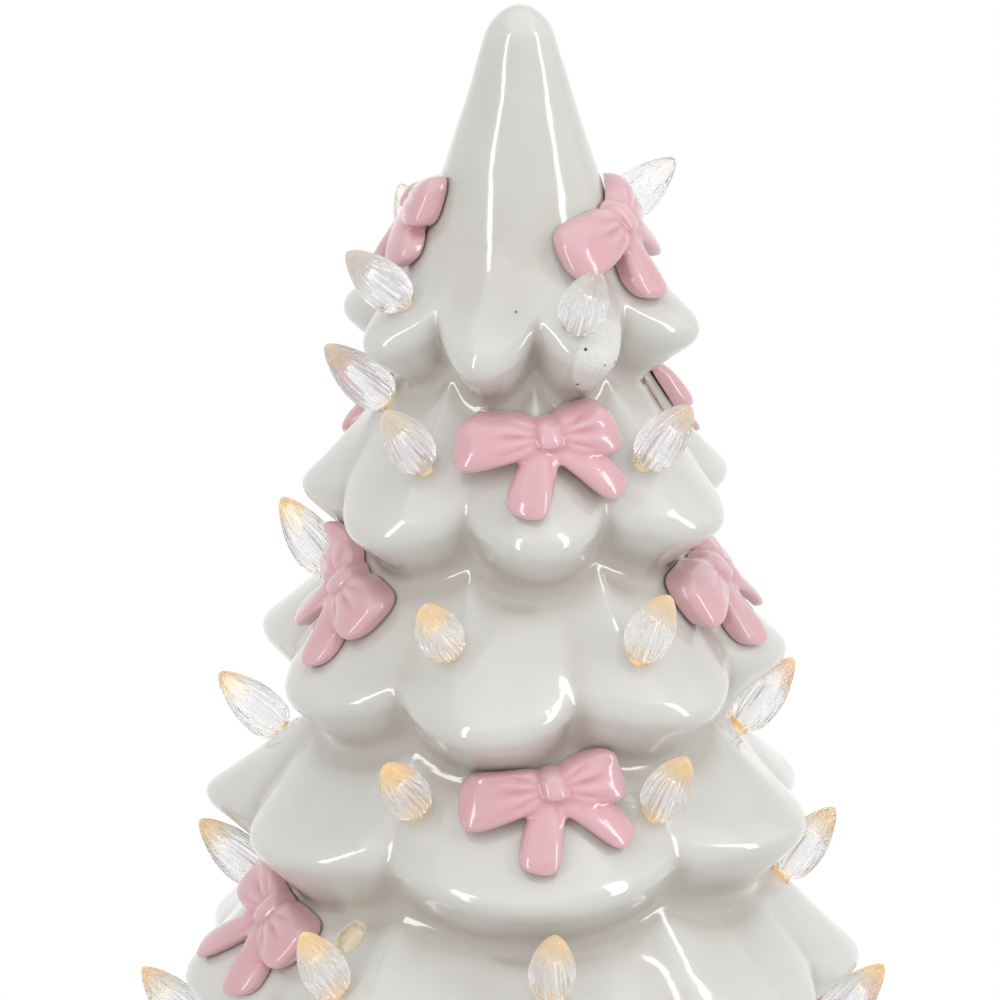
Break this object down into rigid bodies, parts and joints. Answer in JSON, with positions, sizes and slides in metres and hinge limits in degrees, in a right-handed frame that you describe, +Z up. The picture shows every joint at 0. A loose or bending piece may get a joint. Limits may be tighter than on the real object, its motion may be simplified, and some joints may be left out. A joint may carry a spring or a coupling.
{
  "type": "ceramic christmas tree",
  "caption": "Lighted glazed ceramic christmas tree with leafy tiers, clear ribbed bulbs and pink bows, on a separate stand with a lamp inside.",
  "frame": {"origin": "middle of the flat ring that the stand rests on, under the tree's axis", "axes": "+Z up along the tree's axis, -Y towards the viewer of the picture, +X to the viewer's right"},
  "size_m": [0.1945, 0.198, 0.357],
  "materials": {
    "glazed_ceramic": "white glaze, very glossy",
    "pink_glaze": "pink glaze, very glossy",
    "clear_bulb": "clear ribbed plastic",
    "felt": "felt",
    "clear_pad": "clear soft pad",
    "white_plastic": "moulded, fine satin",
    "frosted_dome": "frosted",
    "led": "warm white emitter",
    "board": "green circuit board",
    "screw_steel": "bright zinc plate",
    "contact": "nickel plate",
    "cell_sleeve": "plain printed sleeve",
    "switch_black": "moulded",
    "wire_red": "wire insulation"
  },
  "bodies": {
    "stand": {"ceramic_stand": "glazed_ceramic", "felt_ring": "felt", "rim_pads": "clear_pad", "mounting_ring": "white_plastic", "bottom_cover": "white_plastic", "cover_screws": "screw_steel", "battery_cells": "cell_sleeve", "battery_springs": "contact", "battery_plates": "contact", "switch_body": "switch_black", "timer_board": "board", "lamp_stem": "white_plastic", "stem_screws": "screw_steel", "led_board": "board", "led_emitters": "led", "light_dome": "frosted_dome", "lamp_wires": "wire_red"},
    "tree": {"tree_shell": "glazed_ceramic", "bulbs_tier_1": "clear_bulb", "bulbs_tier_2": "clear_bulb", "bulbs_tier_3": "clear_bulb", "bulbs_tier_4": "clear_bulb", "bulbs_tier_5": "clear_bulb", "bulbs_tier_6": "clear_bulb", "bow_1_right": "pink_glaze", "bow_1_left": "pink_glaze", "bow_1_back": "pink_glaze", "bow_2_front": "pink_glaze", "bow_2_right": "pink_glaze", "bow_2_left": "pink_glaze", "bow_3_left": "pink_glaze", "bow_3_right": "pink_glaze", "bow_3_back": "pink_glaze", "bow_4_front": "pink_glaze", "bow_4_right": "pink_glaze", "bow_4_left": "pink_glaze", "bow_5_left": "pink_glaze", "bow_5_back": "pink_glaze", "bow_6_front": "pink_glaze", "bow_6_right": "pink_glaze", "bow_6_left": "pink_glaze"},
    "door": {"battery_door": "white_plastic"},
    "knob": {"switch_knob": "switch_black"}
  },
  "joints": [
    {"name": "tree_lift", "type": "slide", "parent": "stand", "child": "tree", "axis": [0, 0, 1], "range_m": [0, 0.1]},
    {"name": "door_hinge", "type": "hinge", "parent": "stand", "child": "door", "pos_m": [-0.026, 0, 0.00425], "axis": [0, 1, 0], "range_deg": [0, 75]},
    {"name": "switch_slide", "type": "slide", "parent": "stand", "child": "knob", "axis": [1, 0, 0], "range_m": [-0.0025, 0.0025]}
  ]
}
